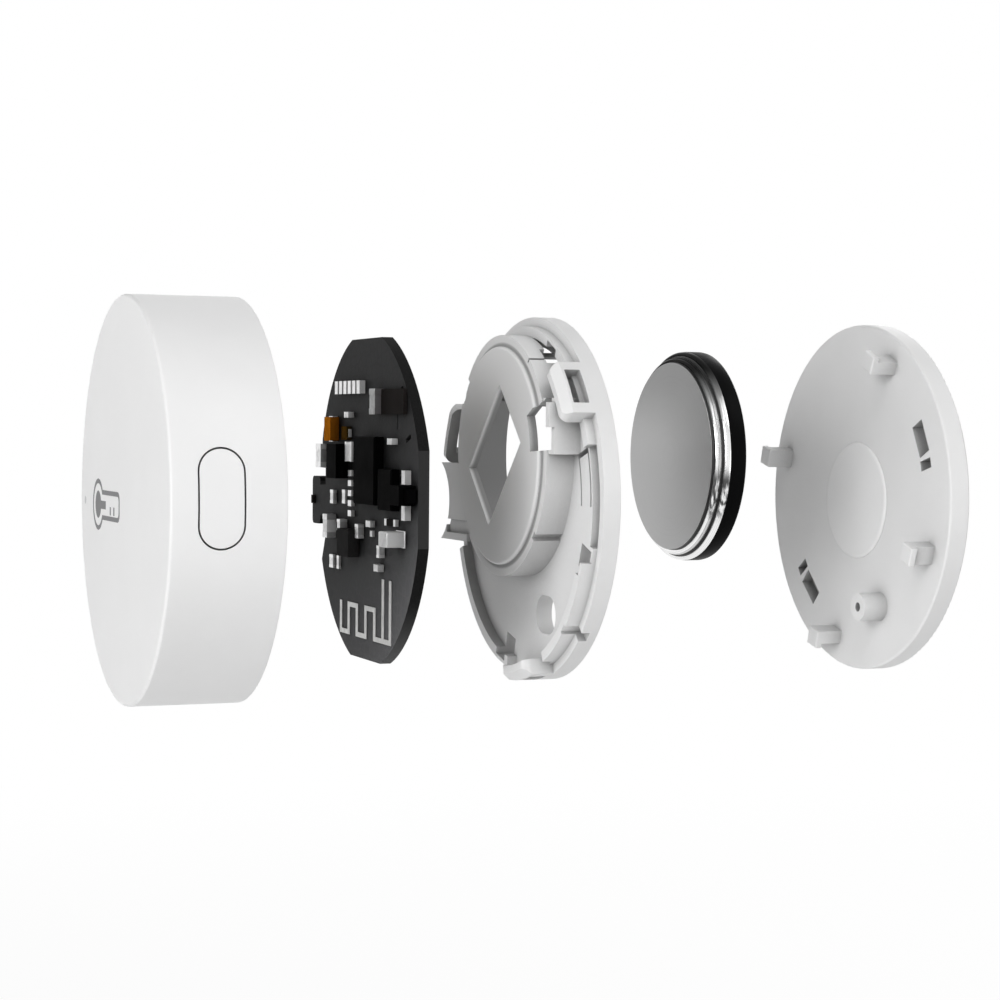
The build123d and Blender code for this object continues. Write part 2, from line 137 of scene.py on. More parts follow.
class Bench:
    """Where the nodes of one material are put together."""

    def __init__(self, tree: bpy.types.NodeTree) -> None:
        """Start on an emptied node tree."""
        self.tree = tree
        self.tree.nodes.clear()

    def add(self, kind: str, settings: dict | None = None,
            inputs: dict | None = None) -> bpy.types.Node:
        """Place one node.

        Args:
            kind: The node's type name.
            settings: Its settings, set first.
            inputs: Values, terms or sockets for its inputs.

        Returns:
            The node.
        """
        node = self.tree.nodes.new(kind)
        for key, value in (settings or {}).items():
            setattr(node, key, value)
        for key, value in (inputs or {}).items():
            socket = node.inputs[key]
            if isinstance(value, Term):
                self.tree.links.new(value.socket, socket)
            elif isinstance(value, bpy.types.NodeSocket):
                self.tree.links.new(value, socket)
            elif isinstance(value, tuple) and len(value) == 3 and socket.type == "RGBA":
                socket.default_value = (*value, 1.0)
            else:
                socket.default_value = value
        return node

    def term(self, node: bpy.types.Node, output: str | int = 0) -> Term:
        """An output of a node as a term."""
        return Term(self, node.outputs[output])

    def place(self) -> bpy.types.NodeSocket:
        """The point of the surface, in the object's own metres."""
        return self.add("ShaderNodeTexCoord").outputs["Object"]

    def axes(self, vector: bpy.types.NodeSocket) -> tuple[Term, Term, Term]:
        """The three numbers of a vector."""
        node = self.add("ShaderNodeSeparateXYZ", None, {0: vector})
        return self.term(node, 0), self.term(node, 1), self.term(node, 2)

    def facing(self) -> tuple[Term, Term, Term]:
        """The three numbers of the surface's own direction."""
        return self.axes(self.add("ShaderNodeTexCoord").outputs["Normal"])

    def round_axis(self, centre: Axis) -> tuple[Term, Term, Term]:
        """The point of the surface, as seen from an axis along Y.

        Args:
            centre: X and z of the axis.

        Returns:
            Distance from the axis, y, and height above the axis.
        """
        x, y, z = self.axes(self.place())
        across, up = x - centre[0], z - centre[1]
        return (across * across + up * up) ** 0.5, y, up

    def seen(self) -> Term:
        """1 for rays from the camera, from gloss and from clear pieces, 0 for all others."""
        path = self.add("ShaderNodeLightPath")
        return self.term(path, "Is Camera Ray").most(
            self.term(path, "Is Glossy Ray")).most(self.term(path, "Is Transmission Ray"))

    def noise(self, size: float, detail: float = 3.0, rough: float = 0.5,
              stretch: Point = (1.0, 1.0, 1.0)) -> Term:
        """Soft noise whose blotches are about this large.

        Args:
            size: Size of a blotch in metres.
            detail: Number of finer layers.
            rough: Weight of the finer layers.
            stretch: Factor on each axis.

        Returns:
            A value round 0.5.
        """
        mapped = self.add("ShaderNodeMapping", None, {"Vector": self.place(), "Scale": stretch})
        node = self.add(
            "ShaderNodeTexNoise", None,
            {"Vector": mapped.outputs[0], "Scale": 1.0 / size, "Detail": detail,
             "Roughness": rough})
        return self.term(node, 0)

    def open_share(self, reach: float, own: bool = True) -> Term:
        """How open the surroundings of a point are, from 0 in a corner to 1.

        Args:
            reach: Distance in metres within which a wall counts.
            own: Whether only walls of the same piece count.

        Returns:
            A value from 0 to 1.
        """
        node = self.add(
            "ShaderNodeAmbientOcclusion", {"samples": SIDE_RAYS, "only_local": own},
            {"Distance": reach})
        return self.term(node, "AO")

    def blend(self, share: object, first: object, second: object) -> bpy.types.NodeSocket:
        """Mix two colours.

        Args:
            share: How much of the second colour.
            first: Colour or socket.
            second: Colour or socket.

        Returns:
            The mixed colour.
        """
        node = self.add("ShaderNodeMix", {"data_type": "RGBA"}, {0: share})
        for socket, value in ((node.inputs[6], first), (node.inputs[7], second)):
            if isinstance(value, bpy.types.NodeSocket):
                self.tree.links.new(value, socket)
            else:
                socket.default_value = (*value, 1.0)
        return node.outputs[2]

    def relief(self, height: Term, depth: float, edge: float = 0.0) -> bpy.types.NodeSocket:
        """Normal of a surface with a relief and, if asked, softened edges.

        Args:
            height: Relief from 0 to 1.
            depth: Its full depth in metres.
            edge: Radius of the softened edges in metres.

        Returns:
            The normal.
        """
        inputs = {"Height": height, "Distance": depth, "Strength": 1.0}
        if edge > 0:
            bevel = self.add("ShaderNodeBevel", {"samples": SIDE_RAYS}, {"Radius": edge})
            inputs["Normal"] = bevel.outputs[0]
        return self.add("ShaderNodeBump", None, inputs).outputs[0]

    def surface(self, **values: object) -> None:
        """Finish the material with one principled surface.

        Args:
            values: Inputs of the surface, with underscores for the spaces in their names.
        """
        shader = self.add(
            "ShaderNodeBsdfPrincipled", None,
            {key.replace("_", " "): value for key, value in values.items()})
        self.add("ShaderNodeOutputMaterial", None, {"Surface": shader.outputs[0]})

    def mixed(self, share: Term, first: bpy.types.Node, second: bpy.types.Node,
              output: str) -> None:
        """Finish the tree with a mix of two shaders.

        Args:
            share: How much of the second shader.
            first: Node of the first shader.
            second: Node of the second shader.
            output: Type name of the output node.
        """
        mix = self.add(
            "ShaderNodeMixShader", None, {0: share, 1: first.outputs[0], 2: second.outputs[0]})
        self.add(output, None, {"Surface": mix.outputs[0]})


def grey(level: float) -> Colour:
    """The neutral colour of a level."""
    return level, level, level


def shade(colour: Colour, factor: float) -> Colour:
    """A colour made lighter or darker by a factor."""
    return tuple(min(1.0, part * factor) for part in colour)


def new_bench(name: str) -> tuple[bpy.types.Material, Bench]:
    """Start a material.

    Args:
        name: Name of the material.

    Returns:
        The empty material and the bench for its nodes.
    """
    material = bpy.data.materials.new(name)
    material.use_nodes = True
    return material, Bench(material.node_tree)


@dataclass(frozen=True)
class Moulded:
    """Injection-moulded plastic with a fine eroded grain and painted shade in its corners."""

    colour: Colour
    rough: float = 0.46
    grain: float = 0.00016
    depth: float = 2.0e-6
    cloud: float = 0.05
    cloud_size: float = 0.006
    rough_swing: float = 0.12
    edge: float = 0.00008
    specular: float = 0.4
    corner_shade: float = 0.6
    corner_shade_band: Band = (0.2, 0.92)
    reach: float = 0.003
    own: bool = True

    def make(self, name: str) -> bpy.types.Material:
        """Build the material.

        Args:
            name: Name of the material.

        Returns:
            The material.
        """
        material, bench = new_bench(name)
        cloud = bench.noise(self.cloud_size, detail=2.0)
        grain = bench.noise(self.grain, detail=2.0, rough=0.6)
        plain = bench.blend(cloud.step(*SOFT), shade(self.colour, 1 - self.cloud), self.colour)
        # painted shade: the colour darkens where walls close in, in corners and gaps
        colour = bench.blend(
            bench.open_share(self.reach, self.own).step(*self.corner_shade_band),
            shade(self.colour, self.corner_shade), self._with_painted_light(bench, plain))
        bench.surface(
            Base_Color=colour, Roughness=self.rough + self.rough_swing * (cloud - 0.5),
            Normal=bench.relief(grain, self.depth, self.edge),
            Specular_IOR_Level=self.specular)
        return material

    def _with_painted_light(self, bench: Bench, plain: bpy.types.NodeSocket) -> bpy.types.NodeSocket:
        """The plain colour, for kinds that carry painted light or painted shade in places."""
        return plain


@dataclass(frozen=True)
class DrumPlastic(Moulded):
    """Plastic of the bracket: painted light on its front faces, painted shade inside the battery
    drum.
    """

    bore: float = 0.0102
    face: float = -0.0405
    painted_front_light: float = 1.08
    painted_front_light_band: Band = (0.5, 0.9)
    painted_inside_shade: float = 0.4
    rear_band: Band = (0.3, 0.8)

    def _with_painted_light(self, bench: Bench, plain: bpy.types.NodeSocket) -> bpy.types.NodeSocket:
        """Paint light on the front faces and paint shade on the drum's inside.

        Args:
            bench: Bench of the material.
            plain: The plain colour.

        Returns:
            The colour with its painted light and shade.
        """
        _, facing, _ = bench.facing()
        radius, y, _ = bench.round_axis(CELL_AXIS)
        within = 1.0 - radius.step(self.bore + 0.1 * MM, self.bore + 0.4 * MM)
        behind = y.step(self.face + 0.1 * MM, self.face + 0.5 * MM)
        # painted shade: the drum's inside is darkened
        inside = within * behind * (1.0 - facing.step(*self.rear_band))
        # painted light: faces that look forward are lightened
        front_lit = bench.blend(
            (facing * -1.0).step(*self.painted_front_light_band), plain, shade(self.colour, self.painted_front_light))
        return bench.blend(inside, front_lit, shade(self.colour, self.painted_inside_shade))


@dataclass(frozen=True)
class SolderMask:
    """Dark lacquer over copper tracks, with the bare laminate on its cut edge; painted light on
    both, painted shade round the parts.
    """

    colour: Colour = (0.014, 0.014, 0.0145)
    edge_colour: Colour = grey(0.005)
    rough: float = 0.55
    specular: float = 0.06
    track: float = 0.0011
    track_line: Band = (0.05, 0.11)
    track_share: float = 0.12
    track_lift: float = 2.2
    lean: float = 0.5
    painted_light_band: Band = (0.003, -0.024)
    painted_light_lift: float = 9.0
    parts_shade_reach: float = 0.004
    parts_shade_band: Band = (0.6, 0.98)
    parts_shade_tone: float = 0.2
    rim_band: Band = (0.4, 0.6)
    rim_rough: float = 0.2
    speck: float = 0.00012
    speck_rough: float = 0.1
    fibre_band: Band = (0.35, 0.75)
    fibre_lift: float = 2.2
    flat_band: Band = (0.985, 0.998)
    flat_share: float = 0.8
    flat_lift: float = 7.0
    painted_foot_light_band: Band = (-0.008, -0.0155)
    painted_foot_light: float = 20.0
    track_relief: float = 0.8
    depth: float = 2.5e-6
    edge: float = 0.00006

    def make(self, name: str) -> bpy.types.Material:
        """Build the material.

        Args:
            name: Name of the material.

        Returns:
            The material.
        """
        material, bench = new_bench(name)
        across, facing, up = bench.facing()
        x, _, z = bench.axes(bench.place())
        rim = 1.0 - abs(facing).step(*self.rim_band)
        flat = abs(across).most(abs(up)).step(*self.flat_band)
        cells = bench.add(
            "ShaderNodeTexVoronoi", {"feature": "DISTANCE_TO_EDGE", "distance": "MANHATTAN"},
            {"Vector": bench.place(), "Scale": 1.0 / self.track})
        tracks = bench.term(cells).step(*self.track_line)
        speck = bench.noise(self.speck, detail=2.0)
        # painted shade: the face darkens where the parts on it close in
        parts_shade_mask = bench.open_share(self.parts_shade_reach, own=False).step(*self.parts_shade_band)
        # painted light: the lacquer grows lighter towards the lower right of the face
        lit = bench.blend(
            (z - self.lean * x).step(*self.painted_light_band), self.colour,
            shade(self.colour, self.painted_light_lift))
        lacquer = bench.blend(
            tracks * self.track_share, lit, shade(self.colour, self.track_lift))
        face = bench.blend(parts_shade_mask, shade(self.colour, self.parts_shade_tone), lacquer)
        fibre = bench.blend(
            speck.step(*self.fibre_band), self.edge_colour,
            shade(self.edge_colour, self.fibre_lift))
        cut = bench.blend(flat * self.flat_share, fibre, shade(self.edge_colour, self.flat_lift))
        # painted light: the cut edge grows lighter towards its foot
        laminate = bench.blend(
            z.step(*self.painted_foot_light_band), cut, shade(self.edge_colour, self.painted_foot_light))
        relief = tracks * self.track_relief + speck * (1.0 - self.track_relief)
        bench.surface(
            Base_Color=bench.blend(rim, face, laminate),
            Roughness=self.rough + self.rim_rough * rim + self.speck_rough * (speck - 0.5),
            Normal=bench.relief(relief, self.depth, self.edge), Specular_IOR_Level=self.specular)
        return material


@dataclass(frozen=True)
class Epoxy:
    """Moulding compound of chips: matt, with tiny filler grains."""

    colour: Colour
    rough: float = 0.5
    rough_swing: float = 0.2
    speck: float = 0.00009
    speck_band: Band = (0.45, 0.8)
    speck_lift: float = 2.0
    cloud: float = 0.0018
    depth: float = 3.0e-6
    edge: float = 0.00005
    specular: float = 0.004

    def make(self, name: str) -> bpy.types.Material:
        """Build the material.

        Args:
            name: Name of the material.

        Returns:
            The material.
        """
        material, bench = new_bench(name)
        speck = bench.noise(self.speck, rough=0.7)
        cloud = bench.noise(self.cloud, detail=2.0)
        colour = bench.blend(
            speck.step(*self.speck_band), self.colour, shade(self.colour, self.speck_lift))
        bench.surface(
            Base_Color=colour, Roughness=self.rough + self.rough_swing * (cloud - 0.5),
            Normal=bench.relief(speck, self.depth, self.edge), Specular_IOR_Level=self.specular)
        return material


@dataclass(frozen=True)
class Capped:
    """Small fired parts, with painted light on the face that looks forward and painted shade on
    their sides.
    """

    colour: Colour
    shaded_side: Colour
    rough: float = 0.4
    metal: float = 0.0
    specular: float = 0.06
    rough_swing: float = 0.2
    stain: float = 0.0005
    stain_band: Band = (0.35, 0.75)
    stain_share: float = 0.25
    stain_tone: float = 0.8
    grain: float = 0.00007
    depth: float = 2.0e-6
    edge: float = 0.00006

    def make(self, name: str) -> bpy.types.Material:
        """Build the material.

        Args:
            name: Name of the material.

        Returns:
            The material.
        """
        material, bench = new_bench(name)
        _, facing, _ = bench.facing()
        front = (facing * -1.0).step(*SOFT)
        stain = bench.noise(self.stain)
        grain = bench.noise(self.grain, detail=2.0)
        # painted light and shade: the forward face takes the lit colour, the other faces the
        # shaded one
        body = bench.blend(front, self.shaded_side, self.colour)
        colour = bench.blend(
            stain.step(*self.stain_band) * self.stain_share, body,
            shade(self.shaded_side, self.stain_tone))
        metallic = front * self.metal if self.metal else 0.0
        bench.surface(
            Base_Color=colour, Roughness=self.rough + self.rough_swing * (stain - 0.5),
            Metallic=metallic, Normal=bench.relief(grain, self.depth, self.edge),
            Specular_IOR_Level=self.specular)
        return material


@dataclass(frozen=True)
class SpringStrip:
    """Rolled contact strip with fine lines along its length."""

    colour: Colour = (0.72, 0.60, 0.36)
    rough: float = 0.28
    rough_swing: float = 0.15
    line: float = 0.0012
    line_stretch: Point = (1.0, 1.0, 14.0)
    line_tone: float = 0.9
    depth: float = 4.0e-7
    edge: float = 0.00004

    def make(self, name: str) -> bpy.types.Material:
        """Build the material.

        Args:
            name: Name of the material.

        Returns:
            The material.
        """
        material, bench = new_bench(name)
        lines = bench.noise(self.line, rough=0.6, stretch=self.line_stretch)
        colour = bench.blend(lines.step(*SOFT), shade(self.colour, self.line_tone), self.colour)
        bench.surface(
            Base_Color=colour, Metallic=1.0,
            Roughness=self.rough + self.rough_swing * (lines - 0.5),
            Normal=bench.relief(lines, self.depth, self.edge))
        return material


@dataclass(frozen=True)
class TurnedSteel:
    """Steel with fine rings round the cell's axis, with painted dark reflection on top and in a
    band below.
    """

    colour: Colour
    rough: float
    metal: float = 1.0
    ring: float = 0.00009
    ring_depth: float = 1.0e-6
    specular: float = 0.5
    streak: float = 0.06
    streak_band: Band = (0.36, 0.46)
    haze: float = 0.004
    haze_band: Band = (0.3, 0.75)
    haze_share: float = 0.3
    haze_rough: float = 0.1
    ring_rough: float = 0.08
    painted_dark_top: float = 0.0
    painted_dark_top_band: Band = (0.001, 0.0085)
    painted_dark_band: float = 0.0
    painted_dark_band_top: Band = (-0.0005, -0.0022)
    painted_dark_band_foot: Band = (-0.0045, -0.0062)
    dark_band_streaks: float = 0.00035
    dark_band_streaks_stretch: Point = (1.0, 1.0, 0.12)
    dark_band_streaks_band: Band = (0.4, 0.62)
    painted_darkness_tone: float = 0.01

    def make(self, name: str) -> bpy.types.Material:
        """Build the material.

        Args:
            name: Name of the material.

        Returns:
            The material.
        """
        material, bench = new_bench(name)
        radius, y, up = bench.round_axis(CELL_AXIS)
        coordinate = bench.add("ShaderNodeCombineXYZ", None, {0: radius, 1: y, 2: 0.0})
        rings = bench.add(
            "ShaderNodeTexNoise", None,
            {"Vector": coordinate.outputs[0], "Scale": 1.0 / self.ring, "Detail": 3.0})
        ring = bench.term(rings)
        haze = bench.noise(self.haze)
        dark = (1.0 - ring.step(*self.streak_band)).most(
            self.haze_share - self.haze_share * haze.step(*self.haze_band))
        plain = bench.blend(dark, self.colour, shade(self.colour, 1 - self.streak))
        dark_band_streaks = bench.noise(self.dark_band_streaks, detail=2.0, stretch=self.dark_band_streaks_stretch)
        # painted dark reflection: a dark band below the axis, broken into streaks by noise, and a
        # dark top
        painted_dark_band = (up.step(*self.painted_dark_band_top) * (1.0 - up.step(*self.painted_dark_band_foot))
                * (1.0 - dark_band_streaks.step(*self.dark_band_streaks_band)))
        painted_darkness = (up.step(*self.painted_dark_top_band) * self.painted_dark_top).most(painted_dark_band * self.painted_dark_band)
        # where the painted dark reflection lies, the metal is taken away so that it turns black
        metallic = self.metal * (1.0 - painted_darkness) if self.painted_dark_top else self.metal
        bench.surface(
            Base_Color=bench.blend(painted_darkness, plain, shade(self.colour, self.painted_darkness_tone)),
            Metallic=metallic,
            Roughness=(self.rough + self.haze_rough * (haze - 0.5)
                       + self.ring_rough * (ring - 0.5)),
            Normal=bench.relief(ring, self.ring_depth), Specular_IOR_Level=self.specular)
        return material


@dataclass(frozen=True)
class LightPipe:
    """Clear plastic rod with a frosted end."""

    colour: Colour = (0.62, 0.63, 0.64)
    frost: float = 0.00008
    frost_tone: float = 0.8
    rough: float = 0.2
    rough_swing: float = 0.2
    depth: float = 4.0e-6
    clear: float = 0.35
    index: float = 1.49

    def make(self, name: str) -> bpy.types.Material:
        """Build the material.

        Args:
            name: Name of the material.

        Returns:
            The material.
        """
        material, bench = new_bench(name)
        frost = bench.noise(self.frost)
        colour = bench.blend(frost, shade(self.colour, self.frost_tone), self.colour)
        bench.surface(
            Base_Color=colour, Roughness=self.rough + self.rough_swing * frost,
            Normal=bench.relief(frost, self.depth), Transmission_Weight=self.clear,
            IOR=self.index)
        return material


class Finish(Enum):
    """The finishes of the sensor."""

    # The moulded finishes carry painted shade in their corners and gaps.
    SHELL_WHITE = Moulded(
        grey(0.86), rough=0.42, cloud=0.02, specular=0.2, corner_shade=0.25, reach=0.0008, own=False)
    ICON_GREY = Moulded((0.17, 0.17, 0.175), rough=0.55, edge=0.0)
    PIPE_CLEAR = LightPipe()
    COVER_PLASTIC = Moulded(
        grey(0.84), rough=0.5, cloud=0.02, specular=0.08, corner_shade=0.3, reach=0.005, own=False)
    PAD_PLASTIC = Moulded(
        grey(0.88), rough=0.5, cloud=0.02, specular=0.08, corner_shade=0.8, reach=0.001)
    BRACKET_PLASTIC = DrumPlastic(
        grey(0.82), rough=0.55, specular=0.06, corner_shade=0.38, reach=0.010)
    BOARD_MASK = SolderMask()
    TRACK_METAL = Capped((0.62, 0.62, 0.61), grey(0.35), 0.45, 0.8)
    TIN = Capped(grey(0.86), grey(0.42), 0.35, 1.0)
    CERAMIC_PALE = Capped(grey(0.82), grey(0.32), 0.4, 0.7)
    CHIP_BLACK = Epoxy((0.0014, 0.0014, 0.0015))
    PART_DARK = Epoxy((0.012, 0.0105, 0.010))
    PART_GREY = Epoxy((0.021, 0.0205, 0.0205))
    TANTALUM_ORANGE = Capped((0.62, 0.20, 0.012), (0.22, 0.075, 0.006), 0.6, specular=0.0)
    TANTALUM_BROWN = Capped((0.09, 0.045, 0.008), (0.03, 0.018, 0.004), 0.6, specular=0.0)
    BODY_GREY = Capped(grey(0.42), (0.095, 0.09, 0.092), 0.45, 0.8)
    BODY_PALE = Capped(grey(0.85), grey(0.24), 0.4, 0.8)
    BODY_FILM = Capped(grey(0.72), grey(0.50), 0.45, 0.7)
    CONTACT_METAL = SpringStrip()
    LENS_WHITE = Moulded((0.72, 0.74, 0.68), rough=0.25)
    GASKET_BLACK = Moulded(grey(0.02), rough=0.4, cloud=0.2)
    # painted dark reflection: the can's steel wall is coloured near black, for the dark
    # surroundings it reflects
    CAN_DARK_REFLECTION = TurnedSteel((0.003, 0.003, 0.0032), 0.35, metal=0.0, specular=0.02)
    CAP_SATIN = TurnedSteel(grey(0.44), 0.42, painted_dark_top=0.3)
    CAP_POLISH = TurnedSteel(
        grey(0.93), 0.12, specular=0.02, streak=0.3, painted_dark_top=1.0, painted_dark_band=0.9)
    CAP_BRUSHED = TurnedSteel(
        grey(0.75), 0.2, ring=0.00006, specular=0.02, streak=0.92, painted_dark_top=1.0, painted_dark_band=0.9)

    def material(self) -> bpy.types.Material:
        """The material of this finish, made once."""
        name = f"{self.name.lower()}_finish"
        return bpy.data.materials.get(name) or self.value.make(name)


class Work:
    """Modelling by hand: short calls on Blender's own operators."""

    turned_crease: float = math.radians(28)
    block_crease: float = math.radians(40)
    edge_segments: int = 3
    weld: float = 1e-6

    @staticmethod
    def clear() -> None:
        """Select nothing."""
        for obj in bpy.context.view_layer.objects:
            obj.select_set(False)

    @staticmethod
    def settle(obj: bpy.types.Object) -> None:
        """Put the object at the origin with its place in its mesh.

        Args:
            obj: The object.
        """
        Work.clear()
        obj.select_set(True)
        bpy.context.view_layer.objects.active = obj
        bpy.ops.object.transform_apply(location=True, rotation=True, scale=True)

    @staticmethod
    def turned(name: str, profile: Rings, centre: Axis, segments: int = 160) -> bpy.types.Object:
        """Turn a closed round piece about an axis along Y.

        Args:
            name: Name of the piece.
            profile: Radius and y of each ring, from one flat end to the other.
            centre: X and z of the axis.
            segments: Sides of the rings.

        Returns:
            The piece.
        """
        Work.clear()
        x, z = centre
        radius, y = profile[0]
        bpy.ops.mesh.primitive_circle_add(
            vertices=segments, radius=radius, fill_type="NOTHING", location=(x, y, z),
            rotation=(math.pi / 2, 0, 0))
        obj = bpy.context.object
        obj.name = name
        Work.settle(obj)
        bpy.ops.object.mode_set(mode="EDIT")
        bpy.ops.mesh.select_all(action="SELECT")
        for (r0, y0), (r1, y1) in zip(profile, profile[1:]):
            bpy.ops.mesh.extrude_region_move(TRANSFORM_OT_translate={"value": (0, y1 - y0, 0)})
            bpy.ops.transform.resize(
                value=(r1 / r0, 1, r1 / r0), center_override=(x, y1, z))
        bpy.ops.mesh.select_all(action="SELECT")
        bpy.ops.mesh.fill_holes(sides=0)
        bpy.ops.mesh.remove_doubles(threshold=Work.weld)
        bpy.ops.mesh.normals_make_consistent(inside=False)
        bpy.ops.object.mode_set(mode="OBJECT")
        bpy.ops.object.shade_smooth_by_angle(angle=Work.turned_crease)
        return obj

    @staticmethod
    def block(name: str, low: Point, high: Point, edge: float) -> bpy.types.Object:
        """Model a block with rounded edges.

        Args:
            name: Name of the piece.
            low: Lowest corner.
            high: Highest corner.
            edge: Radius of its edges.

        Returns:
            The piece.
        """
        Work.clear()
        bpy.ops.mesh.primitive_cube_add(
            size=1.0, location=[(a + b) / 2 for a, b in zip(low, high)])
        obj = bpy.context.object
        obj.name = name
        obj.scale = [b - a for a, b in zip(low, high)]
        Work.settle(obj)
        bpy.ops.object.mode_set(mode="EDIT")
        bpy.ops.mesh.select_all(action="SELECT")
        bpy.ops.mesh.bevel(offset=edge, segments=Work.edge_segments, affect="EDGES")
        bpy.ops.mesh.normals_make_consistent(inside=False)
        bpy.ops.object.mode_set(mode="OBJECT")
        bpy.ops.object.shade_smooth_by_angle(angle=Work.block_crease)
        return obj

    @staticmethod
    def joined(parts: Sequence[bpy.types.Object]) -> bpy.types.Object:
        """Join objects.

        Args:
            parts: The objects; the first takes in the others.

        Returns:
            The first object.
        """
        Work.clear()
        for part in parts:
            part.select_set(True)
        bpy.context.view_layer.objects.active = parts[0]
        bpy.ops.object.join()
        return parts[0]

    @staticmethod
    def fitted_copy(model: bpy.types.Object, name: str, box: Box) -> bpy.types.Object:
        """Copy a model of unit size into a box, its length along the box's longer side.

        Args:
            model: Model from -0.5 to 0.5 on each axis, lying along X, its foot at +Y.
            name: Name of the copy.
            box: Box that it fills.

        Returns:
            The copy, with its own mesh.
        """
        Work.clear()
        size = [b - a for a, b in zip(*box)]
        upright = size[2] > size[0]
        piece = model.copy()
        piece.data = model.data.copy()
        piece.name = name
        bpy.context.scene.collection.objects.link(piece)
        if upright:
            piece.rotation_euler = (0.0, -math.pi / 2, 0.0)
            Work.settle(piece)
        piece.scale = size
        piece.location = [(a + b) / 2 for a, b in zip(*box)]
        Work.settle(piece)
        return piece


def blocks_of(node: str) -> list[Box]:
    """Boxes of the loose blocks of a CAD node.

    Args:
        node: Name of the node.

    Returns:
        Lowest and highest corner of each block.
    """
    mesh = frame["nodes"][node].data
    keys = [tuple(round(v, WELD_DIGITS) for v in vertex.co) for vertex in mesh.vertices]
    groups = {key: {key} for key in keys}
    for face in mesh.polygons:
        corners = [keys[i] for i in face.vertices]
        whole = set().union(*(groups[key] for key in corners))
        for key in whole:
            groups[key] = whole
    blocks = {id(group): group for group in groups.values()}.values()
    return [(tuple(map(min, zip(*group))), tuple(map(max, zip(*group)))) for group in blocks]


def dress(nodes: Iterable[str], finish: Finish) -> None:
    """Give CAD nodes one finish.

    Args:
        nodes: Names of the nodes.
        finish: Their finish.
    """
    for name in nodes:
        obj = frame["nodes"][name]
        if not obj.material_slots:
            obj.data.materials.append(finish.material())
        for slot in obj.material_slots:
            slot.material = finish.material()
        log.info("%s: %s", name, finish.name.lower())


